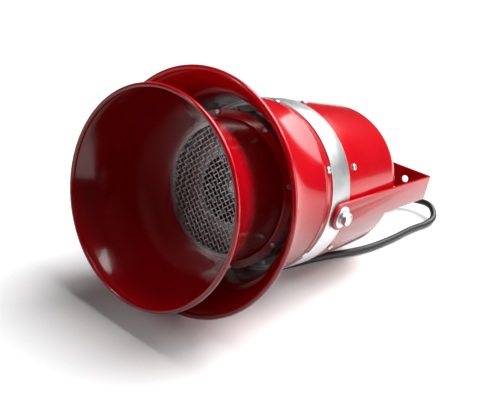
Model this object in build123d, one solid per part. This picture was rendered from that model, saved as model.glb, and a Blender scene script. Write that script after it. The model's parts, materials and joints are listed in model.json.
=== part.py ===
from build123d import *
from math import acos, atan2, cos, degrees, hypot, pi, radians, sin, sqrt, tan
import os

# Motor siren with two concentric horns, lying on a bench (millimetres).
# Siren frame: Y runs from the mouth of the inner horn to the rear, X is the bracket's pivot axis and
# Z is up. laid_down() tips the finished parts onto the bench: +Z up, horns towards -Y, origin on the
# bench under the middle of the object.

# --- horns -----------------------------------------------------------------------------------
SHEET = 1.5                # wall of the horns and of the rear cover
INNER_MOUTH_R = 104.0
INNER_BEAD_R = 2.4         # rolled edge of the inner horn
INNER_THROAT_R = 72.5      # outside radius of the inner horn's throat
INNER_THROAT_Y = 108.0
INNER_FLANGE_R = 82.0
INNER_FLANGE_Y = 113.5     # front face of the inner horn's base flange
OUTER_MOUTH_R = 122.5
OUTER_MOUTH_Y = 57.0
OUTER_BEAD_R = 2.8
NECK_R = 93.2              # outside of the outer horn's neck and of the cover's front end
NECK_Y = 130.0             # the flare has become the neck here
LIP = 0.9                  # height of the swaged rib round the neck, just ahead of the band
LIP_Y = 161.0

# --- centre ring: the plated band between the horn and the cover -------------------------------
BAND_R = 94.7
BAND_Y0 = 171.0
BAND_Y1 = 207.0
RING_WALL = 1.7
SLIP = 0.05                # gap between sleeved sheet parts
SPIGOT_R = NECK_R - SHEET - SLIP
SPIGOT_Y0 = 158.0
SPIGOT_Y1 = 230.0
PIVOT_Y = 190.0

# --- rear cover ------------------------------------------------------------------------------
COVER_TAPER_Y = 234.0
COVER_END_Y = 352.0
COVER_END_R = 90.3         # outside radius where the rounded rear edge begins
COVER_EDGE_R = 34.0

# --- sound generator ---------------------------------------------------------------------------
PORTS = 12
PORT_HALF_ANGLE = 8.0
PORT_Y0 = 134.0
PORT_Y1 = 151.0
STATOR_IN_R = 76.1
STATOR_OUT_R = 79.5
STATOR_Y0 = INNER_FLANGE_Y + SHEET
DRUM_OUT_R = 75.5
DRUM_IN_R = 72.5
DRUM_Y0 = 129.0
DRUM_Y1 = 156.0
GROOVE = 3.0               # step round the drum's front edge
EYE_R = 36.0
EYE_Y = 121.5
BLADE = 2.0
HUB_R = 14.0
BULKHEAD_Y0 = 163.0
BULKHEAD_Y1 = 171.0
BULKHEAD_R = SPIGOT_R - RING_WALL - SLIP
WIRE_R = 0.5
WIRE_PITCH = 5.0
GUARD_Y = 110.5            # middle plane of the wire guard
GUARD_RING = 4.0           # width of the guard's frame

# --- motor -------------------------------------------------------------------------------------
SHAFT_R = 6.0
SHAFT_Y0 = 128.0
SHAFT_Y1 = 322.0
CORE_R = 60.0
CORE_Y0 = 208.0
CORE_Y1 = 258.0
CORE_BORE_R = 32.0
CAGE_R = 31.5
BELL_Y0 = BULKHEAD_Y1
BELL_Y1 = 290.0
BELL_WALL = 4.0
BELL_RIM = 8.0             # thickness of the bells' side walls
BEARING_R = 16.0
BEARING_WIDTH = 10.0
BEARING_BOSS = 4.5         # metal round each bearing
WINDING_IN_R = 34.5
WINDING_OUT_R = 49.0
WINDING_HEAD = 14.0        # how far the windings stand out of the core
SLOTS = 24
SLOT_HALF = 2.5
FAN_R = 46.0
FAN_BLADES = 9
BOLT_CIRCLE = 56.0         # radius of the motor's four through bolts
FIT = 0.04                 # radial running clearance

# --- inside the cover --------------------------------------------------------------------------
CAPACITOR_R = 13.0
CAPACITOR_Y0 = 226.0
CAPACITOR_Y1 = 280.0
CAPACITOR_Z = 75.0
TERMINALS = (-13.0, 0.0, 13.0)
TERMINAL_Y0 = CORE_Y1 + 6.0
TERMINAL_Y1 = TERMINAL_Y0 + 18.0
TERMINAL_TOP = -63.5
TERMINAL_FOOT = -78.0
SHELF = 3.0
CORE_WIRE_R = 1.2

# --- bracket -----------------------------------------------------------------------------------
STRIP_WIDTH = 30.0
STRIP = 3.0
ARM_X = 95.8               # inside face of each arm
ARM_LENGTH = 222.0         # pivot to the back plate's rear face
BEND_R = 5.0               # outside radius of the two bends
BRACKET_ANGLE = 3.6        # arms above the siren's axis
FIXING_R = 4.5             # holes in the back plate
FIXING_X = 66.0
PIVOT_R = 4.0

# --- screws ------------------------------------------------------------------------------------
RING_SCREWS = 6
RING_SCREW_FIRST = 30.0    # degrees from the pivot axis to the first screw
HORN_SCREW_Y = 167.0
COVER_SCREW_Y = 221.0
M4_R = 2.0
M4_HEAD_R = 3.7
M4_HEAD = 2.4
M3_HOLE_R = 1.55
M3_HEAD_R = 2.8
M3_HEAD = 1.8
FLANGE_SCREWS = 8
FLANGE_SCREW_R = 79.3
BULKHEAD_SCREWS = 6
BULKHEAD_SCREW_R = 83.0
HOLE_SLIP = 0.05

# --- gland and cord -----------------------------------------------------------------------------
GLAND_X = 18.0
GLAND_Z = -36.0
GLAND_R = 8.0              # thread radius
GLAND_FLANGE = 22.0        # across flats
GLAND_NUT = 21.0
CORD_INNER_Y = 336.0       # where the sheath ends inside the cover
CORD_R = 4.5
RELIEF_Y = 404.0           # where the cord leaves its sleeve
COIL_R = 49.0              # middle of the coil's turns
COIL_WIDTH = 19.0          # two cords and a little slack
COIL_HEIGHT = 18.2
COIL_X = -104.0
COIL_Y = -22.0
LEAD_ANGLE = 120.0         # where the free end leaves the coil
LEAD_SHEATH = 50.0         # sheath, bare cores and ferrules of the free end
LEAD_CORES = 22.0
LEAD_FERRULES = 9.0

# --- how it lies: on the outer horn's rolled edge and the rounded rear edge of the cover ---------
REST_ALONG = COVER_END_Y - COVER_EDGE_R - OUTER_MOUTH_Y - OUTER_BEAD_R
REST_DROP = OUTER_MOUTH_R - OUTER_BEAD_R - COVER_END_R + COVER_EDGE_R
TILT = acos((COVER_EDGE_R - OUTER_BEAD_R) / hypot(REST_DROP, REST_ALONG)) - atan2(REST_ALONG, REST_DROP)
MOUTH_HEIGHT = (
    (OUTER_MOUTH_Y + OUTER_BEAD_R) * sin(TILT) + (OUTER_MOUTH_R - OUTER_BEAD_R) * cos(TILT) + OUTER_BEAD_R
)
FRONT = (INNER_BEAD_R * cos(TILT)) - (INNER_MOUTH_R - INNER_BEAD_R) * sin(TILT) - INNER_BEAD_R
ARM_SLOPE = TILT - radians(BRACKET_ANGLE)
REAR = PIVOT_Y * cos(TILT) + ARM_LENGTH * cos(ARM_SLOPE) + STRIP_WIDTH / 2 * sin(ARM_SLOPE)
MIDDLE = (FRONT + REAR) / 2

parts = {}


def laid_down(shape):
    return Location((0, -MIDDLE, MOUTH_HEIGHT), (-degrees(TILT), 0, 0)) * shape


def place(name, shape):
    """Keeps a finished part under its node's name, where it lies on the bench."""
    parts[name] = laid_down(shape)


def on_bench(x, y, z):
    """Bench coordinates of a point of the siren frame."""
    return (x, y * cos(TILT) + z * sin(TILT) - MIDDLE, MOUTH_HEIGHT - y * sin(TILT) + z * cos(TILT))


def turned(points):
    """Solid of revolution about the siren's axis; the outline is (radius, y)."""
    return revolve(make_face(Polyline(*points, close=True)), Axis.Y)


def ring(r_in, r_out, y0, y1):
    return turned([(r_in, y0), (r_out, y0), (r_out, y1), (r_in, y1)])


def rod(radius, y0, y1, x=0.0, z=0.0):
    """Cylinder along the siren's axis."""
    return Location((x, y0, z), (-90, 0, 0)) * Cylinder(
        radius, y1 - y0, align=(Align.CENTER, Align.CENTER, Align.MIN)
    )


def spoke(radius, r0, r1, y, angle):
    """Cylinder pointing outwards, at an angle from +X towards +Z."""
    pin = Location((r0, y, 0), (0, 90, 0)) * Cylinder(
        radius, r1 - r0, align=(Align.CENTER, Align.CENTER, Align.MIN)
    )
    return Rot(0, -angle, 0) * pin


def block(x0, x1, y0, y1, z0, z1):
    return Location(((x0 + x1) / 2, (y0 + y1) / 2, (z0 + z1) / 2)) * Box(x1 - x0, y1 - y0, z1 - z0)


def angles(count, first=0.0):
    return [first + 360.0 * i / count for i in range(count)]


def cut_all(shape, tools):
    for tool in tools:
        shape = shape - tool
    return shape


def ring_screw_holes(y):
    places = angles(RING_SCREWS, RING_SCREW_FIRST)
    return [spoke(M4_R + HOLE_SLIP, BULKHEAD_R - 9, BAND_R + 2, y, a) for a in places]


def sheet_section(start, end, start_pull, end_pull, slope):
    """Half section of a horn's flare, one sheet thick.

    The outside line leaves the mouth along slope (inwards, rearwards) and ends along the axis.
    """
    inwards, rearwards = slope
    lines = []
    for step_r, step_y in ((0, 0), (-SHEET * rearwards, -SHEET * inwards)):
        mouth = (start[0] + step_r, start[1] + step_y)
        first = (mouth[0] - inwards * start_pull, mouth[1] + rearwards * start_pull)
        throat = (end[0] - SHEET * (step_r != 0), end[1])
        lines.append(Bezier(mouth, first, (throat[0], throat[1] - end_pull), throat))
    outside, inside = lines
    closing = [Line(outside @ 1, inside @ 1), Line(inside @ 0, outside @ 0)]
    return make_face(Curve() + [outside, inside] + closing)


def bead_section(radius, mouth_r, mouth_y):
    """Half section of the rolled edge round a mouth."""
    return Location((mouth_r - radius, mouth_y + radius)) * Circle(radius)


def straight_section(r_in, r_out, y0, y1):
    return Location(((r_in + r_out) / 2, (y0 + y1) / 2)) * Rectangle(r_out - r_in, y1 - y0)


def inner_horn():
    start = (INNER_MOUTH_R - 1.9, INNER_BEAD_R + 0.3)
    flare = sheet_section(start, (INNER_THROAT_R, INNER_THROAT_Y), 26, 46, (0.45, 0.89))
    throat_in = INNER_THROAT_R - SHEET
    flange_back = INNER_FLANGE_Y + SHEET
    section = flare + bead_section(INNER_BEAD_R, INNER_MOUTH_R, 0)
    section = section + straight_section(throat_in, INNER_THROAT_R, INNER_THROAT_Y - 0.5, flange_back)
    section = section + straight_section(throat_in, INNER_FLANGE_R, INNER_FLANGE_Y, flange_back)
    return cut_all(revolve(section, Axis.Y), flange_screw_holes())


def outer_horn():
    start = (OUTER_MOUTH_R - 2.1, OUTER_MOUTH_Y + OUTER_BEAD_R + 0.3)
    flare = sheet_section(start, (NECK_R, NECK_Y), 20, 40, (0.62, 0.78))
    section = flare + bead_section(OUTER_BEAD_R, OUTER_MOUTH_R, OUTER_MOUTH_Y)
    section = section + straight_section(NECK_R - SHEET, NECK_R, NECK_Y - 0.5, BAND_Y0)
    rib = Location((NECK_R, LIP_Y)) * Circle(LIP)
    return cut_all(revolve(section + rib, Axis.Y), ring_screw_holes(HORN_SCREW_Y))


# --- wire guard in the inner throat --------------------------------------------------------------
def guard_ring():
    outside = INNER_THROAT_R - SHEET - SLIP
    return ring(outside - GUARD_RING, outside, GUARD_Y - 1, GUARD_Y + 1)


def guard_mesh():
    """Two crossed layers of straight wires, each wire a solid of its own."""
    reach = INNER_THROAT_R - SHEET - 2 * SLIP - GUARD_RING
    wires = []
    count = int(reach / WIRE_PITCH)
    for layer, turn in ((-1, 45), (1, -45)):
        for i in range(-count, count):
            across = (i + 0.5) * WIRE_PITCH
            half = sqrt(reach**2 - (abs(across) + WIRE_R) ** 2) - SLIP
            wire = Rot(0, 90, 0) * Cylinder(WIRE_R, 2 * half)
            wires.append(Rot(0, turn, 0) * Location((0, GUARD_Y + layer * WIRE_R, across)) * wire)
    return Compound(children=wires)


# --- centre ring and rear cover --------------------------------------------------------------------
def centre_ring():
    inner_spigot = SPIGOT_R - RING_WALL
    inner_band = BAND_R - RING_WALL
    shell = turned(
        [
            (SPIGOT_R, SPIGOT_Y0),
            (SPIGOT_R, BAND_Y0),
            (BAND_R, BAND_Y0),
            (BAND_R, BAND_Y1),
            (SPIGOT_R, BAND_Y1),
            (SPIGOT_R, SPIGOT_Y1),
            (inner_spigot, SPIGOT_Y1),
            (inner_spigot, BAND_Y1 - RING_WALL),
            (inner_band, BAND_Y1 - RING_WALL),
            (inner_band, BAND_Y0 + RING_WALL),
            (inner_spigot, BAND_Y0 + RING_WALL),
            (inner_spigot, SPIGOT_Y0),
        ]
    )
    shell = cut_all(shell, ring_screw_holes(HORN_SCREW_Y) + ring_screw_holes(COVER_SCREW_Y))
    return cut_all(shell, [spoke(PIVOT_R + HOLE_SLIP, 80, 100, PIVOT_Y, a) for a in (0, 180)])


def cover_outline(wall):
    """Half section of the cover, drawn in by wall from its outside."""
    edge = COVER_EDGE_R - wall
    corner_r = COVER_END_R - COVER_EDGE_R
    corner_y = COVER_END_Y - COVER_EDGE_R
    neck_r = NECK_R - wall
    side = Polyline((0, BAND_Y1), (neck_r, BAND_Y1), (neck_r, COVER_TAPER_Y), (corner_r + edge, corner_y))
    round_edge = CenterArc((corner_r, corner_y), edge, 0, 90)
    back = Polyline((corner_r, corner_y + edge), (0, corner_y + edge), (0, BAND_Y1))
    return revolve(make_face(Curve() + [side, round_edge, back]), Axis.Y)


def rear_cover():
    shell = cover_outline(0) - cover_outline(SHEET)
    shell = cut_all(shell, ring_screw_holes(COVER_SCREW_Y))
    return shell - rod(GLAND_R + HOLE_SLIP, COVER_END_Y - 5, COVER_END_Y + 5, GLAND_X, GLAND_Z)


# --- sound generator ---------------------------------------------------------------------------
def port_windows(r_in, r_out):
    """Twelve wedge-shaped windows right through a drum."""
    reach = r_out * 1.1
    half = reach * tan(radians(PORT_HALF_ANGLE))
    wedge = Location((0, PORT_Y1, 0), (90, 0, 0)) * extrude(
        make_face(Polyline((0, 0), (reach, -half), (reach, half), close=True)), PORT_Y1 - PORT_Y0
    )
    wedge = wedge - ring(0.0, r_in, PORT_Y0 - 1, PORT_Y1 + 1)
    return [Rot(0, a, 0) * wedge for a in angles(PORTS)]


def port_ring():
    body = ring(STATOR_IN_R, STATOR_OUT_R, STATOR_Y0, BULKHEAD_Y0)
    front = ring(STATOR_IN_R, INNER_FLANGE_R, STATOR_Y0, STATOR_Y0 + 3)
    rear = ring(STATOR_IN_R, STATOR_OUT_R + 7, BULKHEAD_Y0 - 3, BULKHEAD_Y0)
    body = cut_all(body + front + rear, port_windows(STATOR_IN_R - 1, STATOR_OUT_R))
    return cut_all(body, flange_screw_holes() + bulkhead_screw_holes())


def siren_rotor():
    """Ported drum with a coned intake shroud, radial blades, a back plate and a hub."""
    step = DRUM_Y0 + GROOVE
    drum = ring(DRUM_IN_R, DRUM_OUT_R, step, DRUM_Y1)
    shroud = turned(
        [
            (EYE_R, EYE_Y),
            (DRUM_IN_R, DRUM_Y0),
            (DRUM_IN_R, step),
            (DRUM_IN_R + 1, step),
            (DRUM_IN_R + 1, step + BLADE),
            (DRUM_IN_R - 1, step + BLADE),
            (EYE_R, EYE_Y + BLADE),
        ]
    )
    plate = ring(SHAFT_R + FIT, DRUM_OUT_R, DRUM_Y1 - 3, DRUM_Y1)
    hub = ring(SHAFT_R + FIT, HUB_R, DRUM_Y0 + 8, DRUM_Y1 + 4)
    rotor = cut_all(drum, port_windows(DRUM_IN_R - 1, DRUM_OUT_R)) + shroud + plate + hub
    blade = block(30, DRUM_IN_R + 1, DRUM_Y0 + 1, DRUM_Y1 - 1, -BLADE / 2, BLADE / 2)
    return rotor + [Rot(0, a, 0) * blade for a in angles(PORTS, 180 / PORTS)]


def bulkhead():
    rim = ring(STATOR_OUT_R - 1, BULKHEAD_R, BULKHEAD_Y0, BULKHEAD_Y1)
    web = ring(BEARING_R + 5, STATOR_OUT_R, BULKHEAD_Y1 - 3, BULKHEAD_Y1)
    disc = cut_all(rim + web, ring_screw_holes(HORN_SCREW_Y) + bulkhead_screw_holes())
    return cut_all(disc, through_bolt_holes())


def flange_screw_holes():
    hole = rod(M3_HOLE_R, INNER_FLANGE_Y - 1, INNER_FLANGE_Y + 6, FLANGE_SCREW_R)
    return [Rot(0, a, 0) * hole for a in angles(FLANGE_SCREWS, 180 / FLANGE_SCREWS)]


def bulkhead_screw_holes():
    hole = rod(M3_HOLE_R, BULKHEAD_Y0 - 4, BULKHEAD_Y0 + 6, BULKHEAD_SCREW_R)
    return [Rot(0, a, 0) * hole for a in angles(BULKHEAD_SCREWS)]


def pan_screw(radius, head_r, head, length, slot_depth=1.0):
    """Pan-head screw along +Y: the head's underside is at y = 0 and its crown towards -Y."""
    crown = turned([(0, 0), (head_r, 0), (head_r, -head * 0.45), (head_r * 0.72, -head), (0, -head)])
    screw = crown + rod(radius, 0, length)
    cross = block(-0.4, 0.4, -head - 1, -head + slot_depth, -head_r * 0.55, head_r * 0.55)
    return screw - cross - Rot(0, 90, 0) * cross


def flange_screws():
    screw = Location((FLANGE_SCREW_R, INNER_FLANGE_Y, 0)) * pan_screw(1.5, M3_HEAD_R, M3_HEAD, 4.4)
    return Compound(children=[Rot(0, a, 0) * screw for a in angles(FLANGE_SCREWS, 180 / FLANGE_SCREWS)])


def bulkhead_screws():
    screw = Location((BULKHEAD_SCREW_R, BULKHEAD_Y0 - 3, 0)) * pan_screw(1.5, M3_HEAD_R, M3_HEAD, 8)
    return Compound(children=[Rot(0, a, 0) * screw for a in angles(BULKHEAD_SCREWS)])


# --- radial screws and pivots ------------------------------------------------------------------------
def radial(shape, radius, y, angle):
    """Turns a shape made along +Y so that its -Y end points outwards from the axis."""
    return Rot(0, -angle, 0) * Location((radius, y, 0)) * Rot(0, 0, 90) * shape


def ring_screw_set(y, length):
    screw = pan_screw(M4_R, M4_HEAD_R, M4_HEAD, length)
    places = angles(RING_SCREWS, RING_SCREW_FIRST)
    return Compound(children=[radial(screw, NECK_R, y, a) for a in places])


def hexagon(across_flats, thickness):
    """Hexagonal prism along +Y from y = 0."""
    return Rot(-90, 0, 0) * extrude(RegularPolygon(across_flats / 2, 6, major_radius=False), thickness)


def nut(across_flats, bore, thickness):
    return hexagon(across_flats, thickness) - rod(bore, -1, thickness + 1)


def cover_nuts():
    seat = SPIGOT_R - RING_WALL - 0.15
    m4_nut = nut(7, M4_R + HOLE_SLIP, 3.2)
    places = angles(RING_SCREWS, RING_SCREW_FIRST)
    return Compound(children=[radial(m4_nut, seat, COVER_SCREW_Y, a) for a in places])


def both_sides(shape, radius):
    """A piece at each end of the pivot axis."""
    return Compound(children=[radial(shape, radius, PIVOT_Y, a) for a in (0, 180)])


def pivot_stack():
    """Nodes of the two pivots, from the ring outwards."""
    arm_out = ARM_X + STRIP
    washer = 1.6
    spring = 2.0
    washer_out = arm_out + washer
    spring_out = washer_out + 0.3 + spring
    head = 5.3
    nut_out = BAND_R - RING_WALL - 0.4
    place("friction_washers", both_sides(ring(PIVOT_R + HOLE_SLIP, 11, 0, 0.75), BAND_R + SLIP + 0.75))
    place("flat_washers", both_sides(ring(PIVOT_R + 0.3, 12, 0, washer), washer_out))
    slit = Rot(0, 0, 12) * block(3, 9, -1, spring + 1, -0.6, 0.6)
    split = ring(PIVOT_R + HOLE_SLIP, 7.2, 0, spring) - slit
    place("spring_washers", both_sides(split, spring_out))
    shank = spring_out + head - 84
    bolt = hexagon(13, head) + rod(PIVOT_R, 0, shank)
    bolt = bolt & turned([(0, 0), (6.2, 0), (8, 1.1), (8, 6), (6, 7), (6, shank + 1), (0, shank + 1)])
    place("pivot_bolts", both_sides(bolt, spring_out + head))
    place("pivot_nuts", both_sides(nut(13, PIVOT_R + HOLE_SLIP, 6.8), nut_out))


# --- bracket -------------------------------------------------------------------------------------
def bracket():
    outer_x = ARM_X + STRIP
    outer = Location((0, (ARM_LENGTH - 20) / 2)) * Rectangle(2 * outer_x, ARM_LENGTH + 20)
    inner = Location((0, (ARM_LENGTH - STRIP - 30) / 2)) * Rectangle(2 * ARM_X, ARM_LENGTH - STRIP + 30)
    outer = fillet(outer.vertices().sort_by(Axis.Y)[-2:], BEND_R)
    inner = fillet(inner.vertices().sort_by(Axis.Y)[-2:], BEND_R - STRIP)
    strip = extrude(outer - inner, STRIP_WIDTH / 2, both=True)
    ends = Rot(0, 90, 0) * Cylinder(STRIP_WIDTH / 2, 250)
    ends = ends + block(-125, 125, 0, ARM_LENGTH + 10, -STRIP_WIDTH / 2, STRIP_WIDTH / 2)
    strip = strip & ends
    strip = strip - Rot(0, 90, 0) * Cylinder(PIVOT_R + 0.08, 250)
    for x in (-FIXING_X, 0, FIXING_X):
        strip = strip - rod(FIXING_R, ARM_LENGTH - 10, ARM_LENGTH + 10, x)
    return Location((0, PIVOT_Y, 0), (BRACKET_ANGLE, 0, 0)) * strip


# --- motor -------------------------------------------------------------------------------------
def through_bolt_holes():
    return [Rot(0, a, 0) * rod(M4_R + HOLE_SLIP, 160, 300, BOLT_CIRCLE) for a in angles(4, 45)]


def front_bell():
    disc = ring(BEARING_R + SLIP, CORE_R, BELL_Y0, BELL_Y0 + BELL_WALL)
    wall = ring(CORE_R - BELL_RIM, CORE_R, BELL_Y0, CORE_Y0)
    boss = ring(BEARING_R + SLIP, BEARING_R + BEARING_BOSS, BELL_Y0, BELL_Y0 + BEARING_WIDTH + 2)
    return cut_all(disc + wall + boss, through_bolt_holes())


def rear_bell():
    disc = ring(BEARING_R + SLIP, CORE_R, BELL_Y1 - BELL_WALL, BELL_Y1)
    wall = ring(CORE_R - BELL_RIM, CORE_R, CORE_Y1, BELL_Y1)
    boss = ring(BEARING_R + SLIP, BEARING_R + BEARING_BOSS, BELL_Y1 - BEARING_WIDTH - 2, BELL_Y1)
    return cut_all(disc + wall + boss, through_bolt_holes())


def stator_core():
    core = ring(CORE_BORE_R, CORE_R, CORE_Y0, CORE_Y1)
    slot = block(CORE_BORE_R + 2, WINDING_OUT_R - 1, CORE_Y0 - 1, CORE_Y1 + 1, -SLOT_HALF, SLOT_HALF)
    return cut_all(core, [Rot(0, a, 0) * slot for a in angles(SLOTS)] + through_bolt_holes())


def stator_windings():
    front = ring(WINDING_IN_R, WINDING_OUT_R, CORE_Y0 - WINDING_HEAD, CORE_Y0)
    rear = ring(WINDING_IN_R, WINDING_OUT_R, CORE_Y1, CORE_Y1 + WINDING_HEAD)
    return Compound(children=[front, rear])


def cage_rotor():
    core = ring(SHAFT_R + FIT, CAGE_R, CORE_Y0, CORE_Y1)
    rings = ring(20, CAGE_R - 1, CORE_Y0 - 5, CORE_Y1 + 5)
    return core + rings


def bearing(y):
    return ring(SHAFT_R + FIT, BEARING_R, y, y + BEARING_WIDTH)


def motor_shaft():
    return rod(PIVOT_R, SHAFT_Y0, DRUM_Y0 + 8) + rod(SHAFT_R, DRUM_Y0 + 8, SHAFT_Y1)


def cooling_fan():
    front, back = BELL_Y1 + 5, BELL_Y1 + 22
    fan = ring(SHAFT_R + FIT, 11, front, back) + ring(SHAFT_R + FIT, FAN_R, back - 2, back)
    for a in angles(FAN_BLADES):
        fan = fan + Rot(0, a, 0) * block(10, FAN_R - 1, front + 1, back - 1, -1, 1)
    return fan


def through_bolts():
    bolt = rod(M4_R, BULKHEAD_Y1 - 3, BELL_Y1 + 1) + rod(M4_HEAD_R, BELL_Y1, BELL_Y1 + 3)
    bolt = Location((BOLT_CIRCLE, 0, 0)) * bolt
    return Compound(children=[Rot(0, a, 0) * bolt for a in angles(4, 45)])


def rotor_washer():
    return ring(PIVOT_R + HOLE_SLIP, 11, DRUM_Y0 + 6.4, DRUM_Y0 + 8)


def rotor_nut():
    return Location((0, DRUM_Y0 + 1.4, 0)) * nut(13, PIVOT_R + HOLE_SLIP, 5)


# --- wiring inside the cover -----------------------------------------------------------------------
def run_capacitor():
    case = rod(CAPACITOR_R, CAPACITOR_Y0, CAPACITOR_Y1, 0, CAPACITOR_Z)
    tags = [rod(4, CAPACITOR_Y1, CAPACITOR_Y1 + 5, x, CAPACITOR_Z) for x in (-5, 5)]
    return case + tags


def capacitor_clip():
    inside = CAPACITOR_R + SLIP
    band = ring(inside, inside + 0.95, 0, 10)
    foot = block(-8, 8, 0, 10, CORE_R + 0.1 - CAPACITOR_Z, 0.6 - inside)
    return Location((0, 246, CAPACITOR_Z)) * (band + foot - rod(inside, -1, 11))


def terminal_shelf():
    shelf = block(-24, 24, CORE_Y1 + 2, BELL_Y1 - 2, TERMINAL_TOP, TERMINAL_TOP + SHELF)
    pad = block(-10, 10, TERMINAL_Y0, BELL_Y1 - 6, TERMINAL_TOP + SHELF, TERMINAL_TOP + SHELF + 2)
    return shelf + pad - ring(0, CORE_R, 200, 300)


def terminal_block():
    body = block(-21, 21, TERMINAL_Y0, TERMINAL_Y1, TERMINAL_FOOT, TERMINAL_TOP)
    middle = (TERMINAL_Y0 + TERMINAL_Y1) / 2
    return cut_all(body, [Location((x, middle, TERMINAL_FOOT)) * Cylinder(3, 6) for x in TERMINALS])


def terminal_screws():
    middle = (TERMINAL_Y0 + TERMINAL_Y1) / 2
    heads = [Location((x, middle, TERMINAL_FOOT + 2)) * Cylinder(2.4, 2) for x in TERMINALS]
    return Compound(children=heads)


def straight_wire(start, end, radius):
    line = Line(start, end)
    return sweep(Plane(origin=start, z_dir=Vector(*end) - Vector(*start)) * Circle(radius), path=line)


def supply_cores():
    """Three cores from the gland's inner end to the terminal block."""
    wires = []
    for i, x in enumerate(TERMINALS):
        start = (GLAND_X + 2.6 * (i - 1), CORD_INNER_Y - 1.1, GLAND_Z - 0.8)
        wires.append(straight_wire(start, (x, TERMINAL_Y1 + 1.1, -71), CORE_WIRE_R))
    return Compound(children=wires)


def winding_leads():
    """Three leads from the terminal block forward to the front winding head."""
    ends = (TERMINAL_Y0 - 0.2, CORE_Y0 - 6)
    wires = [straight_wire((x, ends[0], -72), (x, ends[1], -72), CORE_WIRE_R) for x in TERMINALS]
    return Compound(children=wires)


# --- gland and cord -----------------------------------------------------------------------------
def at_gland(shape):
    return Location((GLAND_X, 0, GLAND_Z)) * shape


def gland_body():
    thread = ring(CORD_R + SLIP, GLAND_R, COVER_END_Y - 12, COVER_END_Y)
    flange = Location((0, COVER_END_Y, 0)) * nut(GLAND_FLANGE, CORD_R + SLIP, 6)
    neck = ring(CORD_R + SLIP, 9, COVER_END_Y + 6, COVER_END_Y + 8)
    return at_gland(thread + flange + neck)


def gland_locknut():
    return at_gland(Location((0, COVER_END_Y - SHEET - 4, 0)) * nut(20, GLAND_R + HOLE_SLIP, 4))


def gland_nut():
    y = COVER_END_Y + 8
    bore = CORD_R + SLIP
    dome = turned([(bore, y + 9), (10, y + 9), (9.6, y + 12), (7.8, y + 15), (bore, y + 15)])
    return at_gland(Location((0, y, 0)) * nut(GLAND_NUT, bore, 9) + dome)


def strain_relief():
    y = COVER_END_Y + 23
    return at_gland(turned([(CORD_R, y), (7.4, y), (7.2, y + 6), (5.4, RELIEF_Y), (CORD_R, RELIEF_Y)]))


def cord_in_gland():
    return at_gland(rod(CORD_R, CORD_INNER_Y, RELIEF_Y))


RELIEF_END = on_bench(GLAND_X, RELIEF_Y, GLAND_Z)

# Points of the supply cord on the bench, from the sleeve to the coil behind the siren.
CORD_ROUTE = [
    RELIEF_END,
    (18, 231, 39.4),
    (18, 265, 34),
    (17, 300, 24),
    (16, 334, 16.5),
    (33.5, 352, 16),
    (58.5, 352, 19),
    (76, 334, 9),
    (76, 310, 4.6),
    (72, 283, 4.6),
    (70, 254, 4.6),
    (70, 224, 4.6),
    (68, 192, 4.6),
    (64, 154, 4.6),
    (55, 120, 4.6),
    (45, 90, 4.6),
    (37, 62, 4.6),
    (31, 36, 4.6),
    (24, 8, 4.6),
    (14, -14, 4.6),
    (-4, -32, 4.6),
    (-40, -54, 4.6),
    (-84, -72, 4.6),
    (-110, -71, 4.6),
]


def corner_radii(route):
    """Largest arc at each corner: 0.45 of the shorter run over the tangent of half the turn."""
    radii = []
    for before, here, after in zip(route, route[1:], route[2:]):
        arriving = Vector(*here) - Vector(*before)
        leaving = Vector(*after) - Vector(*here)
        half_turn = radians(arriving.get_angle(leaving)) / 2
        radii.append(0.45 * min(arriving.length, leaving.length) / tan(half_turn))
    return radii


def cord():
    radii = corner_radii(CORD_ROUTE)
    print("cord arcs", [round(r) for r in radii])
    path = FilletPolyline(*CORD_ROUTE, radius=radii)
    start = Plane(origin=CORD_ROUTE[0], z_dir=Vector(*CORD_ROUTE[1]) - Vector(*CORD_ROUTE[0]))
    tube = sweep(start * Circle(CORD_R), path=path)
    ratio = tube.volume / (pi * CORD_R**2 * path.length)
    print("cord tube length", round(path.length), "volume ratio", round(ratio, 4))
    return tube


def cord_coil():
    section = Location((COIL_R, COIL_HEIGHT / 2)) * RectangleRounded(COIL_WIDTH, COIL_HEIGHT, 4.4)
    return Location((COIL_X, COIL_Y, 0)) * revolve(Plane.XZ * section, Axis.Z)


def cord_tie():
    outer = Location((COIL_R, 0, COIL_HEIGHT / 2)) * Box(COIL_WIDTH + 2, 5, COIL_HEIGHT)
    inner = Location((COIL_R, 0, COIL_HEIGHT / 2)) * Box(COIL_WIDTH - 0.4, 6, COIL_HEIGHT - 2)
    latch = Location((COIL_R + COIL_WIDTH / 2 + 1, 0, COIL_HEIGHT * 0.6)) * Box(4, 6, 5)
    return Location((COIL_X, COIL_Y, 0.4), (0, 0, 75)) * (outer - inner + latch)


def flat_rod(radius, length, x, y, z):
    """Cylinder along +X from x."""
    upright = Cylinder(radius, length, align=(Align.CENTER, Align.CENTER, Align.MIN))
    return Location((x, y, z), (0, 90, 0)) * upright


def lead_ends():
    """Cut end of the sheath with three ferruled cores, lying beside the coil."""
    height = CORD_R + 0.2
    cores = Part() + flat_rod(CORD_R, LEAD_SHEATH, 0, 0, height)
    for dy, dz in ((-2.2, -1.3), (2.2, -1.3), (0, 2.2)):
        cores = cores + flat_rod(1.4, LEAD_CORES, LEAD_SHEATH, dy, height + dz)
        cores = cores + flat_rod(0.9, LEAD_FERRULES, LEAD_SHEATH + LEAD_CORES, dy, height + dz)
    reach = COIL_R + COIL_WIDTH / 4
    tangent = Location((COIL_X, COIL_Y, 0), (0, 0, LEAD_ANGLE)) * Location((reach, 0, 0), (0, 0, -90))
    return tangent * cores


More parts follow.
